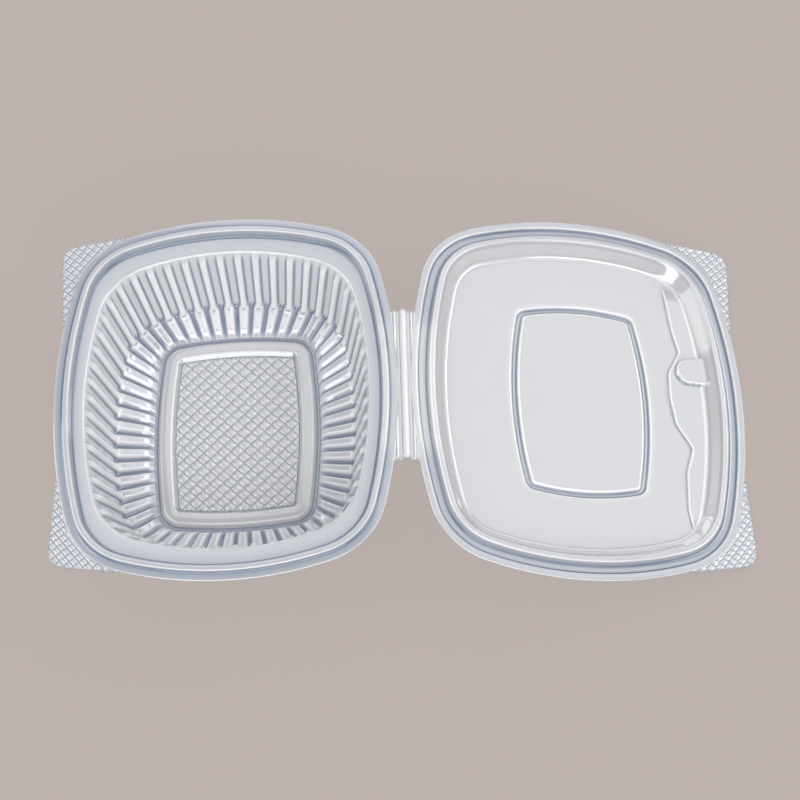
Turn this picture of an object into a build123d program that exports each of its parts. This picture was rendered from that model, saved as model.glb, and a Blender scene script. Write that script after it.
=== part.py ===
# Clear hinged-lid food pack, thermoformed from one sheet: fluted tray, living hinge and shallow lid.
# Millimetres, +Z up. The origin is the middle of the tray's foot, on the table.
import math
import os

from build123d import *

# Sheet, clearances, the overrun of every cut and the lap of pieces that are joined
sheet = 0.5
nest_gap = 0.45
hinge_gap = 0.35
axis_lift = 0.2
table_gap = 0.05
overrun = 3.0
lap = 2.0

# Flange outline that both halves share: four bowed sides and four round corners
pack_half_width = 64.5
pack_half_length = 75.0
flange_bow_shares = (3.1, 1.75, 0.46)
flange_width = 3.0

# Snap ridge of the tray's rim, then the ledge inside it
ridge_height = 1.2
ridge_slope = 0.6
ridge_crown = 2.0
ledge_drop = 2.0
ledge_slope = 1.0
side_ledge = 3.9
end_ledge = 6.2

# Fluted wall of the tray: a steep upper tier that kinks into a shallow lower tier
tray_depth = 35.0
upper_draft_side = 6.6
upper_draft_end = 8.7
lower_height = 6.0
foot_half_width = 32.5
foot_half_length = 41.6
foot_bow_shares = (8.0, 4.0, 0.3)
flute_count = 56
flute_depth = 1.5
flute_run_in = 3.0
flute_along_shares = (-0.29, 0.29, 0.40, 0.60)
flute_depth_shares = (0.0, 0.0, 1.0, 1.0)

# Raised bead that frames the middle of the floor, set in from the foot
bead_inset = 1.5
bead_width = 7.0
bead_rise = 1.6
bead_slope = 1.5

# Lid: channel over the tray's ridge, plug ridge inside it, sloping wall and flat panel
plug_height = 1.4
plug_crown = 2.0
lid_depth = 5.0
lid_inset = 13.6
stack_half_width = 27.0
stack_half_length = 40.3
stack_bow_shares = (6.3, 2.2, 0.17)
stack_place = 2.0
stack_width = 2.8
stack_rise = 1.2
stack_slope = 0.7
wave_rise = 0.7
wave_round = 2.5
wave_x_shares = (0.59, 0.59, 0.62, 0.655, 0.58, 0.575, 0.60, 0.69, 0.64, 0.63, 0.665, 0.69)
wave_y_shares = (1.0, 0.66, 0.44, 0.31, 0.19, 0.05, -0.10, -0.23, -0.37, -0.56, -0.77, -1.0)
boss_radius = 5.6
boss_height = 2.2
boss_reach = 5.0
boss_place = 15.0

# Corner tabs that the thumbs pull apart
tab_half_width = 64.0
tab_half_length = 66.0
tab_side_meet = 12.0
tab_end_meet = 22.0
tab_corner = 3.6

# Living hinge: one half-round bead about the axis, a small rib on the tray and its groove in the lid
hinge_half_length = 31.0
hinge_reach = 2.4
hinge_bead_radius = 1.5
hinge_rib_radius = 0.45
hinge_rib_place = 3.2

ridge_foot = flange_width
ridge_top = ridge_foot + ridge_slope
ridge_end = ridge_top + ridge_crown
ledge_start = ridge_end + ledge_slope
wall_half_width = pack_half_width - ledge_start - side_ledge
wall_half_length = pack_half_length - ledge_start - end_ledge
ledge_level = tray_depth - ledge_drop
axis_x = pack_half_width + hinge_reach
axis_z = tray_depth + axis_lift


def outline(half_x, half_y, inset=0.0, bow_shares=flange_bow_shares):
    """Closed ring of tangent arcs, starting on +X; an inset moves every arc inwards about its own centre."""
    side_bow_share, end_bow_share, corner_share = bow_shares
    side_radius = side_bow_share * half_x
    end_radius = end_bow_share * half_y
    corner_radius = corner_share * half_x
    side_x = half_x - side_radius
    end_y = half_y - end_radius
    side_reach = side_radius - corner_radius
    end_reach = end_radius - corner_radius
    apart = math.hypot(side_x, end_y)
    along = (side_reach**2 - end_reach**2 + apart**2) / (2 * apart)
    across = math.sqrt(side_reach**2 - along**2)
    corner_x = side_x - (along * side_x + across * end_y) / apart
    corner_y = (along * end_y - across * side_x) / apart
    side_turn = math.atan2(corner_y, corner_x - side_x)
    end_turn = math.atan2(corner_y - end_y, corner_x)
    mid_turn = (side_turn + end_turn) / 2

    def spot(x, y, radius, turn):
        return Vector(x + (radius - inset) * math.cos(turn), y + (radius - inset) * math.sin(turn))

    top = math.pi / 2
    quarter = [
        (spot(side_x, 0, side_radius, 0), spot(side_x, 0, side_radius, side_turn / 2)),
        (spot(side_x, 0, side_radius, side_turn), spot(corner_x, corner_y, corner_radius, mid_turn)),
        (spot(0, end_y, end_radius, end_turn), spot(0, end_y, end_radius, (end_turn + top) / 2)),
    ]
    last = spot(0, end_y, end_radius, top)
    starts = [pair[0] for pair in quarter] + [last]
    middles = [pair[1] for pair in quarter]
    arcs = []
    for flip_x, flip_y in ((1, 1), (-1, 1), (-1, -1), (1, -1)):
        ends = [Vector(flip_x * p.X, flip_y * p.Y) for p in starts]
        mids = [Vector(flip_x * p.X, flip_y * p.Y) for p in middles]
        if flip_x * flip_y < 0:
            ends.reverse()
            mids.reverse()
        for first, middle, second in zip(ends[:-1], mids, ends[1:]):
            arcs.append(ThreePointArc(first, middle, second))
    return Wire(arcs)


def plate(half_x, half_y, inset, level, bow_shares=flange_bow_shares):
    """Flat face inside an outline, at a height."""
    return Pos(0, 0, level) * make_face(outline(half_x, half_y, inset, bow_shares).edges())


def block(low, high):
    """Solid between two faces with straight sides."""
    return loft([low, high], ruled=True)


def fluted(half_x, half_y, level, depth, bow_shares=flange_bow_shares):
    """Corners of a ring that follows an outline in flat panels and inward ribs; depth zero leaves it plain."""
    ring = outline(half_x, half_y, bow_shares=bow_shares)
    pitch = ring.length / flute_count
    corners = []
    for flute in range(flute_count):
        for along_share, depth_share in zip(flute_along_shares, flute_depth_shares):
            place = ((flute + along_share) % flute_count) * pitch
            spot = ring.position_at(place, position_mode=PositionMode.LENGTH)
            run = ring.tangent_at(place, position_mode=PositionMode.LENGTH)
            corners.append(spot + Vector(-run.Y, run.X) * (depth * depth_share) + Vector(0, 0, level))
    return corners


def panelled(rings):
    """Closed solid through stacked rings of corners: two flat triangles make each panel between two rings."""
    faces = [Face(Wire.make_polygon(rings[0])), Face(Wire.make_polygon(rings[-1]))]
    for low, high in zip(rings[:-1], rings[1:]):
        for spot in range(len(low)):
            before = spot - 1
            faces.append(Face(Wire.make_polygon([low[before], low[spot], high[spot]])))
            faces.append(Face(Wire.make_polygon([low[before], high[spot], high[before]])))
    return Solid(Shell(faces))


def sheet_section(points):
    """Face of a bent sheet: the given upper line of (inset, level) points and the same line one sheet lower."""
    lower = []
    for spot, point in enumerate(points):
        before = points[max(spot - 1, 0)]
        after = points[min(spot + 1, len(points) - 1)]
        turns = []
        for first, second in ((before, point), (point, after)):
            if first != second:
                turns.append(math.atan2(second[1] - first[1], second[0] - first[0]))
        middle = sum(turns) / len(turns)
        reach = sheet / math.cos((turns[-1] - turns[0]) / 2)
        lower.append((point[0] + reach * math.sin(middle), point[1] - reach * math.cos(middle)))
    ring = points + lower[::-1]
    return make_face(Polyline(*[(pack_half_width - inset, 0, level) for inset, level in ring], close=True))


def rim(points):
    """The bent sheet section carried round the flange outline."""
    return sweep(sheet_section(points), path=outline(pack_half_width, pack_half_length))


def bead_ring(half_x, half_y, bow_shares, inset, width, slope, rise):
    """Raised frame with sloping flanks, from zero up to its crown, set in from an outline."""
    edges = [(inset, 0), (inset + slope, rise), (inset + width, 0), (inset + width - slope, rise)]
    faces = [plate(half_x, half_y, inwards, level, bow_shares) for inwards, level in edges]
    return block(faces[0], faces[1]) - block(faces[2], faces[3])


def tabs(front, level):
    """The corner tabs on the side away from the hinge, as a sheet below a level; front is -1 or 1 along X."""
    inner = make_face(outline(pack_half_width, pack_half_length, flange_width / 2).edges())
    pair = []
    for side in (-1, 1):
        corner = (front * tab_half_width, side * tab_half_length)
        side_foot = (front * (pack_half_width - flange_width), side * tab_side_meet)
        end_foot = (front * tab_end_meet, side * (pack_half_length - flange_width))
        square = make_face(Polyline(corner, side_foot, (0, 0), end_foot, close=True))
        tip = square.vertices().sort_by_distance(corner)[0]
        pair.append(extrude(fillet(tip, tab_corner) - inner, sheet, dir=(0, 0, 1)))
    return [Pos(0, 0, level - sheet) * piece for piece in pair]


# Tray: rim, fluted wall and floor
tray_rim = rim([
    (0, tray_depth),
    (ridge_foot, tray_depth),
    (ridge_top, tray_depth + ridge_height),
    (ridge_end, tray_depth + ridge_height),
    (ledge_start, ledge_level),
    (ledge_start + max(side_ledge, end_ledge) + lap, ledge_level),
])
lower_half_width = wall_half_width - upper_draft_side
lower_half_length = wall_half_length - upper_draft_end
run_in_side = upper_draft_side * flute_run_in / ledge_level
run_in_end = upper_draft_end * flute_run_in / ledge_level


def tray_form(thick):
    """The tray's bowl, drawn in by one sheet thickness for the space inside it."""
    levels = [
        fluted(foot_half_width - thick, foot_half_length - thick, thick, 0, foot_bow_shares),
        fluted(lower_half_width - thick, lower_half_length - thick, lower_height + thick / 2, flute_depth),
        fluted(wall_half_width - run_in_side - thick, wall_half_length - run_in_end - thick,
               ledge_level - flute_run_in, flute_depth),
        fluted(wall_half_width - thick, wall_half_length - thick, ledge_level - sheet / 2, 0),
    ]
    if thick:
        levels.append(fluted(wall_half_width - thick, wall_half_length - thick, ledge_level + overrun, 0))
    return panelled(levels)


# Floor bead, pressed up through the sheet
floor_bead = bead_ring(
    foot_half_width, foot_half_length, foot_bow_shares, bead_inset, bead_width, bead_slope, bead_rise,
)

# Hinge half on the tray: strip, small rib and the half-round bead about the axis
hinge_length = 2 * hinge_half_length
strip_start = pack_half_width - flange_width
bead_start = axis_x - hinge_bead_radius
across = Rot(90, 0, 0)
upper_half = Pos(axis_x, 0, axis_z) * Box(
    4 * hinge_bead_radius, hinge_length, 2 * hinge_bead_radius,
    align=(Align.CENTER, Align.CENTER, Align.MIN),
)
round_bead = Pos(axis_x, 0, axis_z) * across * Cylinder(hinge_bead_radius, hinge_length)
hollow = Pos(axis_x, 0, axis_z) * across * Cylinder(hinge_bead_radius - sheet, hinge_length - 2 * sheet)
tray_strip = Pos(strip_start, 0, tray_depth - sheet) * Box(
    bead_start + sheet - strip_start, hinge_length, sheet, align=(Align.MIN, Align.CENTER, Align.MIN),
)
bead_leg = Pos(bead_start, 0, tray_depth - sheet) * Box(
    sheet, hinge_length, sheet + axis_lift + sheet / 2, align=(Align.MIN, Align.CENTER, Align.MIN),
)
rib = Pos(axis_x - hinge_rib_place, 0, tray_depth) * across * Cylinder(hinge_rib_radius, hinge_length)
tray_edge = tray_rim + tray_strip + bead_leg + rib + ((round_bead - hollow) & upper_half)
tray_edge = tray_edge + tabs(-1, tray_depth)
tray_space = tray_form(sheet) - Pos(0, 0, sheet) * floor_bead
tray = tray_edge + tray_form(0) - [tray_space, floor_bead]

# Lid, drawn flat with its flange's upper face at zero and its hinge side at -X
channel_depth = ridge_height + axis_lift / 2
wall_lean = ledge_slope / (ridge_height + ledge_drop)
plug_start = ridge_end + nest_gap + wall_lean * (ridge_height + plug_height)
plug_end = plug_start + plug_crown
lid_rim = rim([
    (0, 0),
    (ridge_foot - nest_gap, 0),
    (ridge_top - nest_gap, -channel_depth),
    (ridge_end + nest_gap, -channel_depth),
    (plug_start, plug_height),
    (plug_end, plug_height),
    (lid_inset, -lid_depth),
    (lid_inset + lap, -lid_depth),
])
lid_panel = extrude(
    plate(pack_half_width, pack_half_length, lid_inset + lap / 2, -lid_depth - sheet), sheet, dir=(0, 0, 1),
)
lid_dish = block(
    plate(pack_half_width, pack_half_length, lid_inset - sheet / 2, -lid_depth),
    plate(pack_half_width, pack_half_length, plug_end - sheet / 2, plug_height),
)
lid = lid_rim + lid_panel

# Stacking bead, pressed down through the panel
stack_bead = Pos(stack_place, 0, -lid_depth) * Rot(180, 0, 0) * bead_ring(
    stack_half_width, stack_half_length, stack_bow_shares, 0, stack_width, stack_slope, stack_rise,
)
lid = lid + Pos(0, 0, -sheet) * stack_bead - stack_bead

# Shallow wavy step: the front of the panel stands a little higher
wave = [Vector(x * pack_half_width, y * pack_half_length) for x, y in zip(wave_x_shares, wave_y_shares)]
far_edge = Vector(pack_half_width, wave[0].Y)
near_edge = Vector(pack_half_width, wave[-1].Y)
front_field = make_face([
    FilletPolyline(*wave, radius=wave_round),
    Line(wave[-1], near_edge),
    Line(near_edge, far_edge),
    Line(far_edge, wave[0]),
])
front_step = Pos(0, 0, -lid_depth) * extrude(front_field, wave_rise, dir=(0, 0, 1))
front_hollow = Pos(sheet, 0, -lid_depth - sheet - overrun) * extrude(
    front_field, overrun + wave_rise, dir=(0, 0, 1),
)
lid = lid + (front_step & lid_dish) - front_hollow

# Round-ended thumb boss that runs out of the front wall, hollow below
def boss_form(radius, height):
    """Boss as a round end and a straight run into the wall, from the panel's lower face up to a height."""
    end = Cylinder(radius, height, align=(Align.CENTER, Align.CENTER, Align.MIN))
    run = Box(boss_reach + lid_inset, 2 * radius, height, align=(Align.MIN, Align.CENTER, Align.MIN))
    return Pos(pack_half_width - lid_inset - boss_reach, boss_place, -lid_depth - sheet) * (end + run)


boss = boss_form(boss_radius, boss_height + sheet)
boss_hollow = boss_form(boss_radius - sheet, boss_height)
lid = lid + (boss & lid_dish) - (boss_hollow & Pos(-sheet, 0, -sheet) * lid_dish)

# Hinge half on the lid: strip and the groove that clears the tray's rib when the pack is shut
lid_axis_x = -pack_half_width - hinge_reach
lid_strip_start = lid_axis_x + hinge_bead_radius + hinge_gap
lid_strip_end = -pack_half_width + flange_width
lid_strip = Pos(lid_strip_start, 0, -sheet) * Box(
    lid_strip_end - lid_strip_start, hinge_length, sheet, align=(Align.MIN, Align.CENTER, Align.MIN),
)
groove_x = lid_axis_x + hinge_rib_place
groove_radius = hinge_rib_radius + hinge_gap
lower_side = Pos(lid_strip_start, 0, 0) * Box(
    lid_strip_end - lid_strip_start, hinge_length, 4 * groove_radius,
    align=(Align.MIN, Align.CENTER, Align.MAX),
)
groove_shell = (Pos(groove_x, 0, 0) * across * Cylinder(groove_radius + sheet, hinge_length)) & lower_side
groove = Pos(groove_x, 0, 0) * across * Cylinder(groove_radius, hinge_length + overrun)
lid = lid + lid_strip + groove_shell - groove
for tab in tabs(1, 0):
    lid = lid + tab

# The open lid hangs from the axis until its panel's front edge meets the table
dish_lean = (lid_inset - plug_end) / (lid_depth + plug_height)
front_inset = lid_inset - dish_lean * (wave_rise - sheet) - sheet * math.hypot(1, dish_lean)
front_reach = hinge_reach + 2 * pack_half_width - front_inset
front_drop = axis_lift + lid_depth + sheet - wave_rise
droop = math.asin((axis_z - table_gap) / math.hypot(front_reach, front_drop)) - math.atan2(front_drop, front_reach)
lid = Pos(-lid_axis_x, 0, -axis_lift) * lid
lid = Pos(axis_x, 0, axis_z) * Rot(0, math.degrees(droop), 0) * lid
print("lid droop", round(math.degrees(droop), 3), "axis", axis_x, axis_z)

os.makedirs("parts", exist_ok=True)
for name, shape in (("tray", tray), ("lid", lid)):
    solids = shape.solids()
    print(name, "solids", len(solids), "volume", round(shape.volume, 1), "valid", shape.is_valid)
    export_step(solids[0] if len(solids) == 1 else shape, f"parts/{name}.step")
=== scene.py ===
# %% [markdown]
# # A clear hinged food pack
# The real pack is drawn from one sheet of clear PET: a fluted tray, a thin hinge and a shallow lid.
# The frame brings the two solids in, already joined by the hinge. They stay in charge of size and motion.
# This lesson lays a smooth sheet over each of them, because moulded plastic has round bends that solids lack.

import bpy
import numpy as np
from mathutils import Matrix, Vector


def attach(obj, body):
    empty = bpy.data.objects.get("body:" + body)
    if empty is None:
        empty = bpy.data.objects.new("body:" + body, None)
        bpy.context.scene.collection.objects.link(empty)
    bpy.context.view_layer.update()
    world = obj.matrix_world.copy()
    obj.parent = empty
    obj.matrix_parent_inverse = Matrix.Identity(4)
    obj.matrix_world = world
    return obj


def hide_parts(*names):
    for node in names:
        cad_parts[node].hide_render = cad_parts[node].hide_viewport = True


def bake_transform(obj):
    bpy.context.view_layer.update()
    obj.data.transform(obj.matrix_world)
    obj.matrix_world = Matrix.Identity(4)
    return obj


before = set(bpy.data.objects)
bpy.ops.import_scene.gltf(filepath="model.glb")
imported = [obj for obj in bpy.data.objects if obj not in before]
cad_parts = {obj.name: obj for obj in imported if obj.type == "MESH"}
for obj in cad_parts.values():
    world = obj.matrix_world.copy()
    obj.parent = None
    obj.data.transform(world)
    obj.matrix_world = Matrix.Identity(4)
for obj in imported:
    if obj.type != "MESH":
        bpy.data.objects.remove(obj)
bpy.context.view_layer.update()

MM = 0.001

# %% [markdown]
# ## Measures
# These are the lengths of the solids, in millimetres, so the sheets sit where the solids are.
# A sheet is drawn by its upper face. A modifier gives it its thickness afterwards.

# %% Measures of the pack
sheet = 0.5
pack_half = np.array([64.5, 75.0])
rim_curve = (3.1, 1.75, 0.46)
foot_half = np.array([32.5, 41.6])
foot_curve = (8.0, 4.0, 0.3)
stack_half = np.array([27.0, 40.3])
stack_curve = (6.3, 2.2, 0.17)
stack_place = 2.0
tray_depth = 35.0
flute_count = 56
flute_depth = 1.5
axis_x, axis_z = 66.9, 35.2
hinge_half_length = 31.0
droop = np.radians(14.814)
print("tray depth", tray_depth, "lid hangs by", round(float(np.degrees(droop)), 2), "degrees")

# %% [markdown]
# ## The outline
# Every ring of the pack is made of tangent arcs: two bowed sides, two bowed ends and four round corners.
# One formula gives the point at any share of the way round, for many rings at once,
# so a whole wall is one array and no vertex is placed by hand.


# %% Ring of tangent arcs
def ring(rows, share):
    """Points and inward directions on outlines.

    Each row holds half width, half length, inset, level, the side bow, end bow and corner as shares of the half
    sizes, and a shift along X. A quarter is an arc about a point on the X axis, one about the corner's centre and one
    about a point on the Y axis. The share of the way round becomes a length along those arcs, then a turn.
    """
    half_x, half_y, inset, level, side_bow, end_bow, corner, shift = (column[:, None] for column in rows.T)
    side_r, end_r, corner_r = side_bow * half_x, end_bow * half_y, corner * half_x
    side_x, end_y = half_x - side_r, half_y - end_r
    side_reach, end_reach, apart = side_r - corner_r, end_r - corner_r, np.hypot(side_x, end_y)
    along = (side_reach**2 - end_reach**2 + apart**2) / (2 * apart)
    across = np.sqrt(side_reach**2 - along**2)
    corner_x = side_x - (along * side_x + across * end_y) / apart
    corner_y = (along * end_y - across * side_x) / apart
    side_turn = np.arctan2(corner_y, corner_x - side_x)
    end_turn = np.arctan2(corner_y - end_y, corner_x)
    side_run = (side_r - inset) * side_turn
    corner_run = side_run + (corner_r - inset) * (end_turn - side_turn)
    quarter = corner_run + (end_r - inset) * (np.pi / 2 - end_turn)
    whole = np.floor(share * 4)
    count = whole.astype(int)[None, :] % 4
    way = (share * 4 - whole)[None, :] * quarter
    way = np.where(count % 2 == 1, quarter - way, way)
    on_side, on_corner = way < side_run, way < corner_run
    turn = end_turn + (way - corner_run) / (end_r - inset)
    turn = np.where(on_corner, side_turn + (way - side_run) / (corner_r - inset), turn)
    turn = np.where(on_side, way / (side_r - inset), turn)
    middle_x = np.where(on_side, side_x, np.where(on_corner, corner_x, 0))
    middle_y = np.where(on_side, 0, np.where(on_corner, corner_y, end_y))
    radius = np.where(on_side, side_r, np.where(on_corner, corner_r, end_r)) - inset
    flip_x = np.where((count == 1) | (count == 2), -1, 1)
    flip_y = np.where(count >= 2, -1, 1)
    out_x, out_y = np.cos(turn) * flip_x, np.sin(turn) * flip_y
    x = shift + middle_x * flip_x + radius * out_x
    y = middle_y * flip_y + radius * out_y
    return np.stack([x, y, level + 0 * turn], -1), np.stack([-out_x, -out_y, 0 * turn], -1)


def smooth(low, high, value):
    """Smooth step: 0 below low, 1 above high, and 3t^2 - 2t^3 between."""
    t = np.clip((value - low) / (high - low), 0, 1)
    return t * t * (3 - 2 * t)


# %% [markdown]
# ## Round bends
# Warm sheet never makes a sharp fold. A section is first written as a few rows at its folds,
# then each fold is cut short on both sides and a small curve joins the two cuts.


# %% Sections with round bends
def rows_of(half, curve, section, shift=0.0):
    """Rows of one outline from (inset, level) points."""
    section = np.array(section, float)
    fixed = np.tile([half[0], half[1], 0, 0, *curve, shift], (len(section), 1))
    fixed[:, 2:4] = section
    return fixed


def bent(rows, bend, steps=5):
    """Rows with each fold replaced by a quadratic curve between points a bend length before and after it."""
    reach = np.hypot(np.diff(rows[:, 0] - rows[:, 2]), np.diff(rows[:, 3]))[:, None]
    way = np.diff(rows, axis=0) / reach
    cut = np.minimum(np.minimum(0.45 * reach[:-1], 0.45 * reach[1:]), np.reshape(bend, (-1, 1)))
    fold, before, after = rows[1:-1], rows[1:-1] - cut * way[:-1], rows[1:-1] + cut * way[1:]
    t = np.linspace(0, 1, steps)[None, :, None]
    curve = (1 - t) ** 2 * before[:, None] + 2 * t * (1 - t) * fold[:, None] + t**2 * after[:, None]
    return np.concatenate([rows[:1], curve.reshape(-1, rows.shape[1]), rows[-1:]])


def spread(rows, widest):
    """Rows with more of them put in wherever two are further apart than the widest step."""
    reach = np.hypot(np.diff(rows[:, 0] - rows[:, 2]), np.diff(rows[:, 3]))
    pieces = np.maximum(np.ceil(reach / widest), 1).astype(int)
    start = np.repeat(np.arange(len(reach)), pieces)
    part = (np.arange(pieces.sum()) - np.repeat(np.cumsum(pieces) - pieces, pieces)) / np.repeat(pieces, pieces)
    places = np.append(start + part, len(reach))
    return np.stack([np.interp(places, np.arange(len(rows)), column) for column in rows.T], 1)


# %% [markdown]
# ## From arrays to a mesh
# A grid of points becomes a mesh of quads in a few array steps. Round grids join their last column to their first,
# and a round grid that ends in the middle gets one centre point. Solidify then adds the thickness below.


# %% Grid to mesh
def grid_faces(height, width, around):
    """Quads of a grid of height by width points; a round grid also joins its last column to its first."""
    index = np.arange(height * width).reshape(height, width)
    right = np.roll(index, -1, 1) if around else index[:, 1:]
    left = index if around else index[:, :-1]
    return np.stack([left[:-1], right[:-1], right[1:], left[1:]], -1).reshape(-1, 4)


def painted_fold_light(grid, around):
    """Signed bend of a grid: second differences along both of its ways, measured along the face's direction.

    A ridge, where the neighbours lie below, is positive and a valley is negative; the shader paints ridges with a
    highlight and valleys with shade.
    One is a bend of 1 mm radius on a round grid, and of half that on the finer nets.
    """
    wide = np.pad(grid, ((1, 1), (0, 0), (0, 0)), "edge")
    wide = np.pad(wide, ((0, 0), (1, 1), (0, 0)), "wrap" if around else "edge")
    middle = wide[1:-1, 1:-1]
    bends, ways = [], []
    for before, after in ((wide[:-2, 1:-1], wide[2:, 1:-1]), (wide[1:-1, :-2], wide[1:-1, 2:])):
        low = np.linalg.norm(middle - before, axis=-1, keepdims=True) + 1e-4
        high = np.linalg.norm(after - middle, axis=-1, keepdims=True) + 1e-4
        bends.append(2 * ((after - middle) / high - (middle - before) / low) / (low + high))
        ways.append(after - before)
    face = np.cross(ways[1], ways[0])
    face = face / (np.linalg.norm(face, axis=-1, keepdims=True) + 1e-12)
    bend = -((bends[0] + bends[1]) * face).sum(-1)
    bend[[0, -1]] = 0
    if not around:
        bend[:, [0, -1]] = 0
    return np.clip(bend if around else 0.5 * bend, -1, 1)


def moulding(name, grids, thickness, body, drawn=None):
    """One piece of sheet from several grids in millimetres, thickened downwards.

    Each grid comes with whether it is round, with a centre point or a mask of the points to keep, and with a painted
    light or shade that is added to the painted light of its bends.
    """
    points, painted_light, quads, fans, start = [], [], [], [np.zeros((0, 3), int)], 0
    for grid, around, centre, shade in grids:
        height, width = grid.shape[:2]
        points.append(grid.reshape(-1, 3))
        bends = painted_fold_light(grid, around)
        cells = grid_faces(height, width, around)
        if centre is not None and not around:
            bends = bends * centre
            cells = cells[centre.ravel()[cells].any(1)]
        painted_light.append((bends + shade).ravel())
        quads.append(cells + start)
        start += height * width
        if centre is not None and around:
            last = np.arange(start - width, start)
            points.append(np.reshape(centre, (1, 3)))
            painted_light.append(np.zeros(1))
            fans.append(np.stack([last, np.roll(last, -1), np.full(width, start)], -1))
            start += 1
    points, painted_light, quads, fans = (np.concatenate(part) for part in (points, painted_light, quads, fans))
    used = np.zeros(len(points), bool)
    used[quads], used[fans] = True, True
    place = np.cumsum(used) - 1
    mesh = bpy.data.meshes.new(name)
    mesh.from_pydata((points[used] * MM).tolist(), [], place[quads].tolist() + place[fans].tolist())
    mesh.shade_smooth()
    # The painted light and shade of folds and zones goes to the mesh as a point attribute for the shader
    mesh.attributes.new("painted_fold_light", "FLOAT", "POINT").data.foreach_set("value", painted_light[used].astype(np.float32))
    piece = bpy.data.objects.new(name, mesh)
    bpy.context.scene.collection.objects.link(piece)
    if drawn is not None:
        mesh.polygons.foreach_set("material_index", drawn(mesh).astype(np.int32))
    thicken = piece.modifiers.new("sheet", "SOLIDIFY")
    thicken.thickness = thickness * MM
    thicken.offset = -1
    if body:
        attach(piece, body)
    print(name, "points", len(points), "quads", len(quads), "fans", len(fans))
    return piece


# %% [markdown]
# ## Tray
# From its edge inwards, the section runs over the flange, the snap ridge and the ledge, down two fluted tiers,
# over the bead that frames the floor. The flutes push the wall inwards by a smooth wave that fades at both ends.

# %% Tray rim, wall and floor frame
flange = rows_of(pack_half, rim_curve, [(0, 35), (0.7, 35), (3.0, 35), (3.6, 36.2), (5.6, 36.2), (6.6, 33)])
wall = np.concatenate([
    rows_of((53.5, 61.7), rim_curve, [(0, 33.0)]),
    rows_of((46.9, 53.0), rim_curve, [(0, 6.25)]),
])
floor_frame = rows_of(foot_half, foot_curve, [(0.5, 0.5), (1.5, 0.5), (3.0, 2.1), (7.0, 2.1), (8.5, 0.5), (8.7, 0.5)])
tray_bends = [0.1, 0.7, 0.5, 0.6, 0.7, 0.7, 2.0, 0.5, 0.4, 0.7, 0.7, 0.4]
tray_rows = spread(bent(np.concatenate([flange, wall, floor_frame]), tray_bends, 4), 3.4)
flute_shares = np.array([-0.24, -0.12, 0, 0.12, 0.24, 0.31, 0.37, 0.43, 0.57, 0.63, 0.69])
share = ((np.arange(flute_count)[:, None] + flute_shares).ravel() % flute_count) / flute_count
share = np.sort(share)


def flutes(rows, share):
    """Three parts of the flutes, each from 0 to 1.

    The first is the height of one smooth rib per pitch, wider in the lower tier. The second is one in the lower tier.
    The third is one on the wall and fades towards the ledge and the foot.
    """
    from_rib = np.abs((share * flute_count) % 1 - 0.5)[None, :]
    lower = smooth(8.5, 5.5, rows[:, 3:4])
    rib = 1 - smooth(0.11 + 0.10 * lower, 0.23 + 0.22 * lower, from_rib)
    out = rows[:, :1] - rows[:, 2:3]
    return rib, lower, smooth(32.0, 34.0, out) * (1 - smooth(52.8, 53.4, out))


tray_points, tray_in = ring(tray_rows, share)
rib, lower, on_wall = flutes(tray_rows, share)
# A knob sits on each rib where the two tiers meet
knob_level, knob_reach, knob_rise = 7.0, 1.4, 0.6
knob = np.exp(-(((tray_rows[:, 3:4] - knob_level) / knob_reach) ** 2)) * rib * on_wall
push = flute_depth * (rib * on_wall + knob_rise * knob)[..., None]
slope = smooth(8.0, 5.0, tray_rows[:, 3])[:, None, None]
tray_points = tray_points + push * (tray_in * (1 - 0.5 * slope) + np.array([0, 0, 1.0]) * slope)
print("tray rings", len(tray_rows), "points in each", len(share))

# %% [markdown]
# ## Floor panel
# Inside its frame the floor carries small raised diamonds with a net of fine grooves between them.
# The grid runs along the grooves, with a few lines close to each, so narrow grooves stay crisp with few faces.
# Cells that lie wholly outside the frame are dropped, and corners that stick out are drawn back to its edge.


# %% Floor panel with its net
def groove_lines(pitch, groove, count):
    """Grid lines across a net, four to a pitch: the groove's middle, its two lips and one on the flat."""
    shares = np.array([0, groove / pitch, 0.5, 1 - groove / pitch])
    return ((np.arange(-count, count)[:, None] + shares).ravel()) * pitch


net_pitch, net_groove, net_depth = 3.7, 0.42, 0.3
lines = groove_lines(net_pitch, net_groove, 12)
first, second = np.meshgrid(lines, lines)
net_x, net_y = (first - second) / np.sqrt(2), (first + second) / np.sqrt(2)
panel_half = foot_half - 8.7
bow_x = panel_half[0] ** 2 / (2 * foot_curve[1] * foot_half[1])
bow_y = panel_half[1] ** 2 / (2 * foot_curve[0] * foot_half[0])
edge_x = panel_half[0] - bow_y * np.minimum((net_y / panel_half[1]) ** 2, 1)
edge_y = panel_half[1] - bow_x * np.minimum((net_x / panel_half[0]) ** 2, 1)
within = (np.abs(net_x) < edge_x) & (np.abs(net_y) < edge_y)
net_x, net_y = np.clip(net_x, -edge_x, edge_x), np.clip(net_y, -edge_y, edge_y)
groove = np.arange(len(lines)) % 4 == 0
raised = within & ~groove[:, None] & ~groove[None, :]
floor_panel = np.stack([net_x, net_y, 0.5 + net_depth * raised], -1)
print("floor panel", floor_panel.shape, "half size", panel_half)

# %% [markdown]
# ## Corner tabs
# A tab is the flat corner beyond the round flange. Rays from the centre of the corner arc cross the flange edge first
# and the tab's edge last, so a point's ray tells whether it lies on the tab. A fine net makes it easy to grip.

# %% Tabs
tab_pitch, tab_groove, tab_relief = 2.5, 0.46, 0.3
tab_lines = groove_lines(tab_pitch, tab_groove, 14)
tab_groove_line = np.arange(len(tab_lines)) % 4 == 0
tab_turn = np.radians(38)
hub, tip = np.array([34.0, 44.0]), np.array([64.0, 66.0])
side_foot, end_foot = np.array([61.5, 12.0]), np.array([22.0, 72.0])
net_middle = np.array([50, 44])
tab_middle_turn, tab_half_turn = np.radians(37), np.radians(59)
tip_sharpness = 12
# The tabs are greyed by painted shade
tab_drop, tab_painted_shade = 0.06, -0.2


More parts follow.
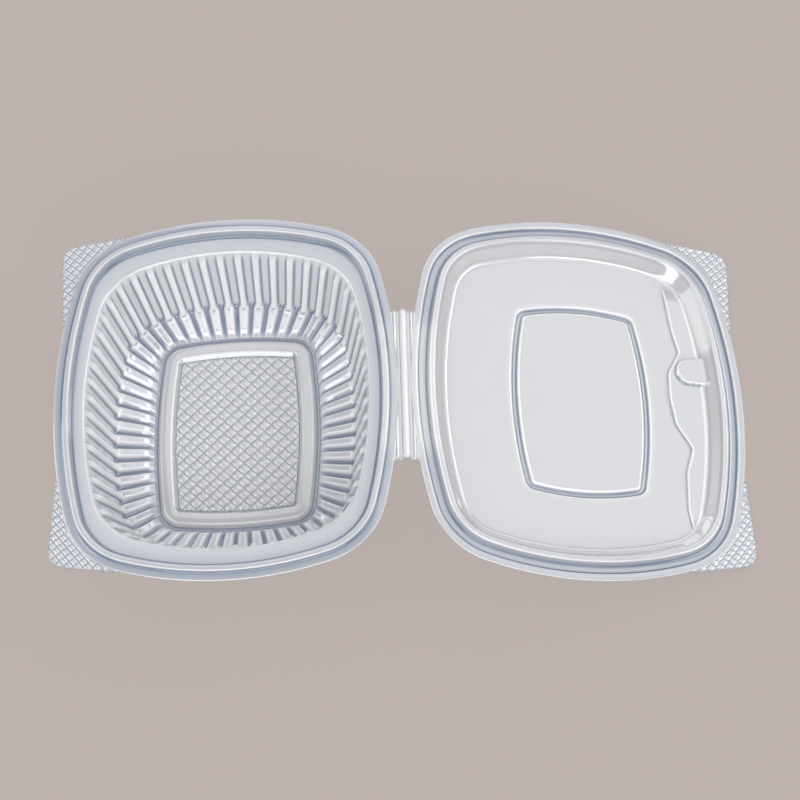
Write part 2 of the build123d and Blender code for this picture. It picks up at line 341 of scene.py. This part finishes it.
def tab(front, side, level):
    """Grid of one tab: its net's own lines, with points off the tab drawn along their rays to its edge."""
    first, second = np.meshgrid(tab_lines, tab_lines)
    x = net_middle[0] + first * np.cos(tab_turn) - second * np.sin(tab_turn) - hub[0]
    y = net_middle[1] + first * np.sin(tab_turn) + second * np.cos(tab_turn) - hub[1]
    turn, reach = np.arctan2(y, x), np.hypot(x, y)
    way = np.stack([np.cos(turn), np.sin(turn)], -1)
    near = []
    for foot in (side_foot, end_foot):
        run = tip - foot
        face = np.array([run[1], -run[0]]) / np.hypot(*run)
        face = face * np.sign(face @ (tip - hub))
        near.append(np.maximum(way @ face, 1e-3) / (face @ (tip - hub)))
    edge = (near[0] ** tip_sharpness + near[1] ** tip_sharpness) ** (-1 / tip_sharpness)
    flange_edge = ring(rows_of(pack_half, rim_curve, [(0.15, level)]), np.linspace(0, 0.25, 600))[0][0]
    ray = np.arctan2(flange_edge[:, 1] - hub[1], flange_edge[:, 0] - hub[0])
    start = np.interp(turn, ray, np.hypot(flange_edge[:, 0] - hub[0], flange_edge[:, 1] - hub[1]))
    on_tab = (reach > start) & (reach < edge) & (np.abs(turn - tab_middle_turn) < tab_half_turn)
    reach = np.clip(reach, start, np.maximum(edge, start))
    sunk = on_tab & (tab_groove_line[:, None] | tab_groove_line[None, :])
    x, y = hub[0] + reach * np.cos(turn), hub[1] + reach * np.sin(turn)
    grid = np.stack([front * x, side * y, level - tab_relief * sunk], -1)
    order = 1 if front * side > 0 else -1
    return grid[::order], False, on_tab[::order], tab_painted_shade


# %% [markdown]
# ## Painted light and shade of the tray
# A shade below zero is painted shade that greys the sheet, and one above zero is a painted highlight that whitens it.
# Zones are told by their distance from the middle.
# The trimmed edge gets a painted white highlight, the flange, ledge, floor frame and lower tier painted grey shade,
# the ribs and knobs painted highlights, lighter than the wall between them, and the flange beside the hinge a painted
# reflection.


# %% Tray painted light and shade, and sheet
def hinge_painted_reflection(out, along):
    """One on the flange beside the hinge, fading inwards and past the hinge's ends."""
    return smooth(50, 60, out) * (1 - smooth(22, 32, np.abs(along)))


# Painted highlight along the trimmed edge; painted shade on the ledge, the floor frame and the floor panel
trimmed_edge, edge_painted_highlight = 63.95, 1.3
ledge_middle, ledge_half, ledge_painted_shade = 55.5, 2.0, 0.34
foot_reach, foot_painted_shade, panel_painted_shade = 32.5, 0.2, -0.1
tray_out = tray_rows[:, :1] - tray_rows[:, 2:3]
tray_flange = tray_out > 57.5
# Painted grey shade on the flange
tray_painted_light = (
    -0.5 * tray_flange
    + edge_painted_highlight * (tray_out > trimmed_edge)
    - ledge_painted_shade * (np.abs(tray_out - ledge_middle) < ledge_half)
    - foot_painted_shade * (tray_out < foot_reach)
)
# Painted highlights on the ribs and the knobs, and painted grey shade over the lower tier
tray_painted_light = tray_painted_light + on_wall * ((0.7 - 0.6 * lower) * rib - 0.3 * lower) + 0.5 * knob
# Painted reflection on the flange beside the hinge
tray_painted_light = tray_painted_light + 0.35 * hinge_painted_reflection(tray_points[..., 0], tray_points[..., 1]) * tray_flange
tray_grids = [(tray_points, True, None, tray_painted_light), (floor_panel, False, within, panel_painted_shade)]
tray_grids += [tab(-1, side, tray_depth - tab_drop) for side in (-1, 1)]


def drawn_wall(mesh):
    """One for the faces of the two fluted tiers, told by their height and their distance from the foot's edge."""
    wall_start, wall_top = np.array([32.0, 41.0]), 32.6
    middle = np.zeros(3 * len(mesh.polygons))
    mesh.polygons.foreach_get("center", middle)
    middle = middle.reshape(-1, 3) / MM
    return (np.abs(middle[:, :2]) > wall_start).any(1) & (middle[:, 2] < wall_top)


tray_piece = moulding("tray_sheet", tray_grids, sheet, "tray", drawn_wall)
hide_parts("tray")

# %% [markdown]
# ## Lid
# Drawn flat first: flange, the channel that takes the tray's ridge, the plug ridge, a sloping wall and the panel.
# The panel carries a stacking frame pressed down, a faint wavy step and a half-round thumb boss.

# %% Lid sheet
lid_rim = rows_of(pack_half, rim_curve, [
    (0, 0), (0.7, 0), (2.55, 0), (3.15, -1.3), (6.05, -1.3), (6.8625, 1.4), (8.8625, 1.4), (13.6, -5.0),
])
stack_section = [(0, -5), (0.7, -6.2), (2.1, -6.2), (2.8, -5), (4.0, -5)]
stack_frame = rows_of(stack_half, stack_curve, stack_section, stack_place)
lid_middle = rows_of((12.0, 24.0), stack_curve, [(0, -5)], stack_place)
lid_bends = [0.1, 0.6, 0.5, 0.6, 0.7, 0.7, 1.4, 0.6, 0.5, 0.5, 0.6, 0.6]
lid_rows = bent(np.concatenate([lid_rim, stack_frame, lid_middle]), lid_bends, 4)
lid_step, wave_step = 1.6, 0.62
lid_rows = spread(lid_rows, lid_step)
row_out = lid_rows[:, 0] - lid_rows[:, 2]
wave_zone = (np.abs(row_out - 43) < 7)[:-1] & (lid_rows[:-1, 3] < -4.9)
lid_rows = spread(lid_rows, np.where(wave_zone, wave_step, lid_step))
# Columns lie close together along the front, where the wave and the boss are
lid_share = np.concatenate([
    np.linspace(0, 0.17, 170),
    np.linspace(0.17, 0.83, 162)[1:-1],
    np.linspace(-0.17, 0, 170)[:-1] + 1,
])
lid_points = ring(lid_rows, lid_share)[0]
wave_y = np.array([75.0, 49.5, 33, 23.3, 14.3, 3.8, -7.5, -17.3, -27.8, -42, -57.8, -75])
wave_x = np.array([38.1, 38.1, 40, 42.2, 37.4, 37.1, 38.7, 44.5, 41.3, 40.6, 42.9, 44.5])
fine = np.linspace(-75, 75, 601)
wave = np.interp(fine, wave_y[::-1], wave_x[::-1])
wave = np.convolve(np.pad(wave, 10, "edge"), np.hanning(21) / np.hanning(21).sum(), "valid")
step = smooth(-0.5, 0.5, lid_points[..., 0] - np.interp(lid_points[..., 1], fine, wave))
step = step * (1 - smooth(46, 53, np.abs(lid_points[..., 1])))
boss_x, boss_y, boss_rise, wave_rise, panel_level = 45.9, 15.0, 2.2, 0.7, -5.0
boss_way = np.hypot(np.minimum(lid_points[..., 0] - boss_x, 0), lid_points[..., 1] - boss_y)
boss = 1 - smooth(5.2, 5.8, boss_way)
lid_out = lid_rows[:, :1] - lid_rows[:, 2:3]
raised = np.maximum(panel_level + wave_rise * step, panel_level + boss_rise * boss)
lifted = (lid_out < 57.0) & (raised > panel_level + 0.001)
lid_points[..., 2] = np.where(lifted, np.maximum(lid_points[..., 2], raised), lid_points[..., 2])
# Painted light on the lid: the sloping wall and the panel's edge are painted whiter than the flange as highlights, the
# trimmed edge gets a painted highlight and the flange painted grey shade
wall_middle, wall_half, panel_edge, panel_edge_half = 53.2, 2.0, 50.8, 0.5
lid_flange = lid_out > 55.2
lid_painted_light = (
    -0.4 * lid_flange
    + edge_painted_highlight * (lid_out > trimmed_edge)
    + 0.25 * (np.abs(lid_out - wall_middle) < wall_half)
    + 0.9 * (np.abs(lid_out - panel_edge) < panel_edge_half) * (1 - boss)
)
# Painted reflection on the lid's flange beside the hinge
lid_painted_light = lid_painted_light + 0.5 * hinge_painted_reflection(-lid_points[..., 0], lid_points[..., 1]) * lid_flange
lid_grids = [(lid_points, True, [stack_place, 0, panel_level], lid_painted_light)]
lid_grids += [tab(1, side, -tab_drop) for side in (-1, 1)]


def hang(points, angle):
    """Flat lid points to their place: moved to the hinge axis, then turned down about it by an angle."""
    out, up = points[..., 0] + axis_x, points[..., 2] + tray_depth - axis_z
    return np.stack([
        axis_x + out * np.cos(angle) + up * np.sin(angle),
        points[..., 1],
        axis_z - out * np.sin(angle) + up * np.cos(angle),
    ], -1)


lid_grids = [
    (hang(grid, droop), around, hang(np.array(centre, float), droop) if around else centre, shade)
    for grid, around, centre, shade in lid_grids
]
lid_piece = moulding("lid_sheet", lid_grids, sheet, "lid")
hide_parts("lid")
print("lid rings", len(lid_rows))

# %% [markdown]
# ## Hinge web
# The hinge is the same sheet, thinned and pressed into a half-round bead so it bends easily.
# One strip crosses the axis and blends between the two bodies at the lid's resting angle.

# %% Hinge web
across = np.concatenate([np.linspace(-1, -0.5, 8), np.linspace(-0.5, 0.5, 49)[1:-1], np.linspace(0.5, 1, 8)])
along = np.linspace(-hinge_half_length, hinge_half_length, 41)
flange_edge = ring(rows_of(pack_half, rim_curve, [(0.2, 0)]), np.linspace(0, 0.12, 200))[0][0]
edge_x = np.interp(np.abs(along), flange_edge[:, 1], flange_edge[:, 0])
reach = (axis_x - edge_x)[:, None]
bead_zone, bead_radius = 3.9, 1.5
rib_radius, rib_place = 0.45, 3.2
# The web is whitened by a painted highlight
web_drop, web_thickness, web_painted_highlight = 0.05, 0.35, 0.3
outer = np.clip((np.abs(across) - 0.5) / 0.5, 0, 1)[None, :]
offset = np.sign(across)[None, :] * (
    np.minimum(np.abs(across) / 0.5, 1)[None, :] * np.minimum(bead_zone, reach - 0.1)
    + outer * np.maximum(reach - bead_zone, 0.1)
)
height = np.sqrt(np.maximum(bead_radius**2 - offset**2, 0)) * smooth(bead_radius, 1.3, np.abs(offset))
height = height + rib_radius * np.exp(-(((np.abs(offset) - rib_place) / rib_radius) ** 2))
web_flat = np.stack([offset - axis_x, along[:, None] + 0 * offset, height - web_drop], -1)
bend = smooth(-bead_radius, bead_radius, offset)
web = hang(web_flat, droop * bend)
web_piece = moulding("hinge_web", [(web, False, None, web_painted_highlight)], web_thickness, None)
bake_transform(web_piece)

# %% [markdown]
# ## Clear PET sheet
# PET for food packs is clear and hard, with a shine from the polished mould and a slight haze.
# A shader that passes most light and scatters a little white gives the light grey that the pack shows.


# %% Colour and node helpers
def linear(code):
    """Linear colour of an sRGB hex code."""
    value = np.array([int(code[k:k + 2], 16) for k in (1, 3, 5)]) / 255
    value = np.where(value <= 0.04045, value / 12.92, ((value + 0.055) / 1.055) ** 2.4)
    return (*value.tolist(), 1.0)


def add_node(tree, kind, settings=None, links=None):
    """Add one node, set its properties or sockets, and link its named inputs."""
    node = tree.nodes.new(kind)
    for key, value in (settings or {}).items():
        if key in node.inputs:
            node.inputs[key].default_value = value
        else:
            setattr(node, key, value)
    for key, source in (links or {}).items():
        tree.links.new(source, node.inputs[key])
    return node


# %% Clear sheet material
clear = bpy.data.materials.new("clear_PET_sheet")
clear.use_nodes = True
tree = clear.node_tree
shine = tree.nodes["Principled BSDF"]
shine.inputs["Roughness"].default_value = 0.06
shine.inputs["IOR"].default_value = 1.57
shine.inputs["Coat Weight"].default_value = 0.8
shine.inputs["Coat Roughness"].default_value = 0.03
shine.inputs["Coat IOR"].default_value = 1.6
place = add_node(tree, "ShaderNodeTexCoord")
# Slow ripples, about 12 mm apart, that a drawn sheet keeps
ripple = add_node(tree, "ShaderNodeTexNoise", {"Scale": 1 / 0.012, "Detail": 2.0}, {"Vector": place.outputs["Object"]})
bump = add_node(tree, "ShaderNodeBump", {"Strength": 0.25, "Distance": 0.0004}, {"Height": ripple.outputs["Fac"]})
tree.links.new(bump.outputs["Normal"], shine.inputs["Normal"])
# Folds of the sheet are painted: a painted highlight along their crests and painted shade in their valleys, and both
# hide what lies behind
fold = add_node(tree, "ShaderNodeAttribute", {"attribute_name": "painted_fold_light"})
painted_light_range = add_node(tree, "ShaderNodeMapRange", {"From Min": -1.0, "From Max": 1.0}, {"Value": fold.outputs["Fac"]})
painted_fold_tint = add_node(tree, "ShaderNodeValToRGB", {}, {"Fac": painted_light_range.outputs["Result"]})
# Painted shade colour for valleys, painted highlight white for crests, and the sheet's own pale tint where nothing is
# painted
painted_fold_tint.color_ramp.elements[0].color = linear("#8391A7")
painted_fold_tint.color_ramp.elements[1].color = linear("#FFFFFF")
painted_fold_tint.color_ramp.elements.new(0.5).color = linear("#F1F4F8")
tree.links.new(painted_fold_tint.outputs["Color"], shine.inputs["Base Color"])
# The stronger the painted light or shade, the less light the sheet passes
size = add_node(tree, "ShaderNodeMath", {"operation": "ABSOLUTE"})
tree.links.new(fold.outputs["Fac"], size.inputs[0])
haze_and_painted_folds = add_node(tree, "ShaderNodeMapRange", {"To Min": 0.7, "To Max": 0.3}, {"Value": size.outputs[0]})
haze_and_painted_folds.name = "haze_and_painted_folds"
tree.links.new(haze_and_painted_folds.outputs["Result"], shine.inputs["Transmission Weight"])
# The fluted wall is drawn furthest, and passes less light
drawn = clear.copy()
drawn.name = "drawn_PET_sheet"
drawn.node_tree.nodes["haze_and_painted_folds"].inputs["To Min"].default_value = 0.45
for piece in (tray_piece, lid_piece, web_piece):
    piece.data.materials.append(clear)
tray_piece.data.materials.append(drawn)
print("materials", clear.name, drawn.name)

# %% [markdown]
# ## Floor, light and camera
# A plain taupe floor, a soft sky with a darker band, and six broad lamps. Clear plastic shows mostly what it reflects,
# so the lamps are large and leave darker gaps between them.

# %% Floor
floor_mesh = bpy.data.meshes.new("floor")
far = 3.0
floor_mesh.from_pydata([(-far, -far, 0), (far, -far, 0), (far, far, 0), (-far, far, 0)], [], [(0, 1, 2, 3)])
floor = bpy.data.objects.new("floor", floor_mesh)
bpy.context.scene.collection.objects.link(floor)
paper = bpy.data.materials.new("matt_paper")
paper.use_nodes = True
matt = paper.node_tree.nodes["Principled BSDF"]
matt.inputs["Base Color"].default_value = linear("#BBB0AC")
matt.inputs["Roughness"].default_value = 1.0
matt.inputs["Specular IOR Level"].default_value = 0.0
# Seen straight, mirrored or through the sheet, most of the floor's colour is its own and the rest keeps the shadow
ray = add_node(paper.node_tree, "ShaderNodeLightPath")
seen = add_node(paper.node_tree, "ShaderNodeMath", {"operation": "MAXIMUM"})
paper.node_tree.links.new(ray.outputs["Is Camera Ray"], seen.inputs[0])
paper.node_tree.links.new(ray.outputs["Is Glossy Ray"], seen.inputs[1])
also = add_node(paper.node_tree, "ShaderNodeMath", {"operation": "MAXIMUM"})
paper.node_tree.links.new(seen.outputs[0], also.inputs[0])
paper.node_tree.links.new(ray.outputs["Is Transmission Ray"], also.inputs[1])
own_share = 0.88
part = add_node(paper.node_tree, "ShaderNodeMath", {"operation": "MULTIPLY"})
paper.node_tree.links.new(also.outputs[0], part.inputs[0])
part.inputs[1].default_value = own_share
own = add_node(paper.node_tree, "ShaderNodeEmission", {"Color": linear("#BBB0AC"), "Strength": 1.0})
both = add_node(paper.node_tree, "ShaderNodeMixShader", {}, {"Fac": part.outputs[0]})
paper.node_tree.links.new(matt.outputs["BSDF"], both.inputs[1])
paper.node_tree.links.new(own.outputs["Emission"], both.inputs[2])
paper.node_tree.links.new(both.outputs["Shader"], paper.node_tree.nodes["Material Output"].inputs["Surface"])
floor_mesh.materials.append(paper)

# %% Sky
world = bpy.data.worlds.new("studio")
world.use_nodes = True
bpy.context.scene.world = world
sky = world.node_tree
way = add_node(sky, "ShaderNodeTexCoord")
split = add_node(sky, "ShaderNodeSeparateXYZ", {}, {"Vector": way.outputs["Generated"]})
fade = add_node(sky, "ShaderNodeValToRGB", {}, {"Fac": split.outputs["Z"]})
fade.color_ramp.elements[0].color = linear("#E9EDF2")
fade.color_ramp.elements[1].color = linear("#F6F7F9")
for height, code in ((0.22, "#D5DAE0"), (0.34, "#5E646C"), (0.55, "#8E949C"), (0.72, "#EEF1F6")):
    fade.color_ramp.elements.new(height).color = linear(code)
sky.links.new(fade.outputs["Color"], sky.nodes["Background"].inputs["Color"])
sky.nodes["Background"].inputs["Strength"].default_value = 0.5


# %% Lamps
def lamp(name, place, aim, size, power):
    """Rectangular lamp at a place, turned to an aim."""
    light = bpy.data.lights.new(name, "AREA")
    light.shape = "RECTANGLE"
    light.size, light.size_y = size
    light.energy = power
    holder = bpy.data.objects.new(name, light)
    bpy.context.scene.collection.objects.link(holder)
    holder.location = place
    holder.rotation_euler = (Vector(aim) - Vector(place)).to_track_quat("-Z", "Y").to_euler()


lamp("sky_panel", (0.32, 0.55, 1.0), (0.07, 0, 0.02), (1.1, 0.6), 2.2)
lamp("front_panel", (0.0, -0.65, 1.15), (0.0, 0, 0.02), (0.8, 0.4), 2.4)
lamp("low_panel", (0.0, -1.1, 0.80), (0.0, 0, 0.02), (2.0, 0.4), 11.0)
lamp("left_panel", (-0.75, 0.10, 0.50), (0.0, 0, 0.02), (0.5, 1.4), 4.0)
lamp("back_panel", (0.05, 0.95, 0.40), (0.05, 0, 0.02), (1.6, 0.2), 3.0)
lamp("right_panel", (0.95, 0.05, 0.62), (0.0, 0, 0.02), (1.2, 0.36), 5.0)

# %% Camera
camera = bpy.data.cameras.new("camera")
camera.sensor_width = 36.0
camera.lens = 99.9
view = bpy.data.objects.new("camera", camera)
bpy.context.scene.collection.objects.link(view)
view.location = (0.1042, -0.3733, 0.7669)
view.rotation_euler = (0.4621, 0.0666, -0.0260)
bpy.context.scene.camera = view
bpy.context.scene.view_settings.view_transform = "Standard"
